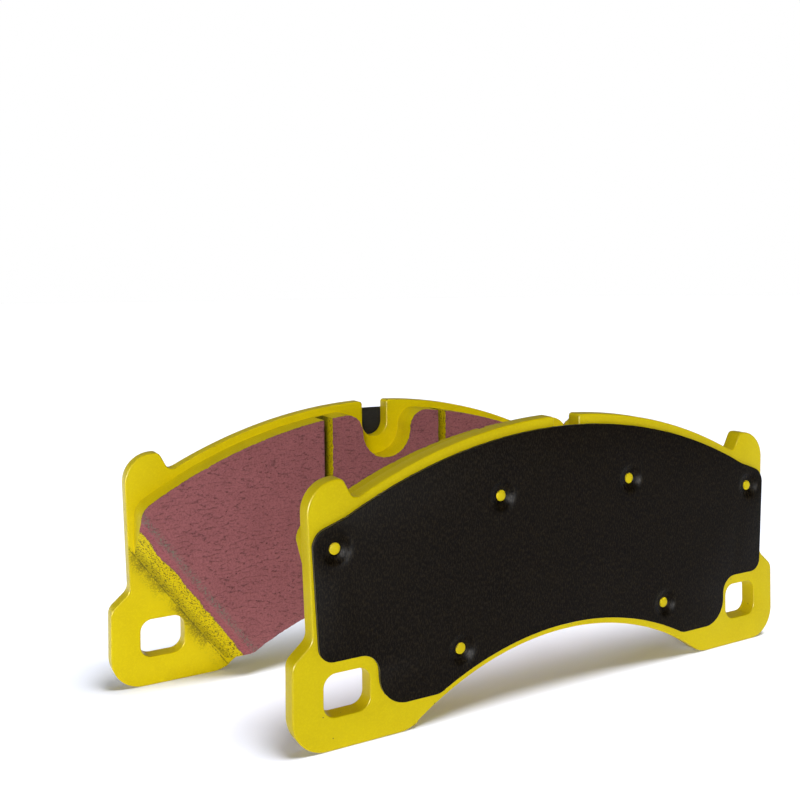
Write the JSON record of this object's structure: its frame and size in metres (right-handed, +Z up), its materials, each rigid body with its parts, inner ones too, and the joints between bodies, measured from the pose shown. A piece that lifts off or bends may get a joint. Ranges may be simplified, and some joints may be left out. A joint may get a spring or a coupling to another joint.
{
  "type": "disc brake pad pair",
  "caption": "Pair of disc brake pads with painted backing plates, slotted linings with sloped ends and bonded shims, standing on their ears face to face.",
  "frame": {"origin": "on the floor, midway between the two friction faces and midway between the two pads' centres", "axes": "+X along the pads, +Y along the disc's axis from the front pad to the rear pad, +Z up"},
  "size_m": [0.2284, 0.0782, 0.0891],
  "materials": {
    "yellow_paint": "satin",
    "friction": "matte",
    "bedding": "matte",
    "bonding": "matte",
    "shim_rubber": "matte",
    "shim_steel": "rolled steel sheet",
    "adhesive": "pressure sensitive film"
  },
  "bodies": {
    "front_pad": {"front_backing_plate": "yellow_paint", "front_underlayer": "bonding", "front_lining_left": "friction", "front_lining_centre": "friction", "front_lining_right": "friction", "front_bedding_coat": "bedding", "front_shim_adhesive": "adhesive", "front_shim_inner_rubber": "shim_rubber", "front_shim_steel_core": "shim_steel", "front_shim_outer_rubber": "shim_rubber", "front_shim_pegs": "yellow_paint"},
    "rear_pad": {"rear_backing_plate": "yellow_paint", "rear_underlayer": "bonding", "rear_lining_left": "friction", "rear_lining_centre": "friction", "rear_lining_right": "friction", "rear_bedding_coat": "bedding", "rear_shim_adhesive": "adhesive", "rear_shim_inner_rubber": "shim_rubber", "rear_shim_steel_core": "shim_steel", "rear_shim_outer_rubber": "shim_rubber", "rear_shim_pegs": "yellow_paint"}
  },
  "joints": [
    {"name": "rear_pad_slide", "type": "slide", "parent": "front_pad", "child": "rear_pad", "axis": [0, -1, 0], "range_m": [0, 0.01]}
  ]
}
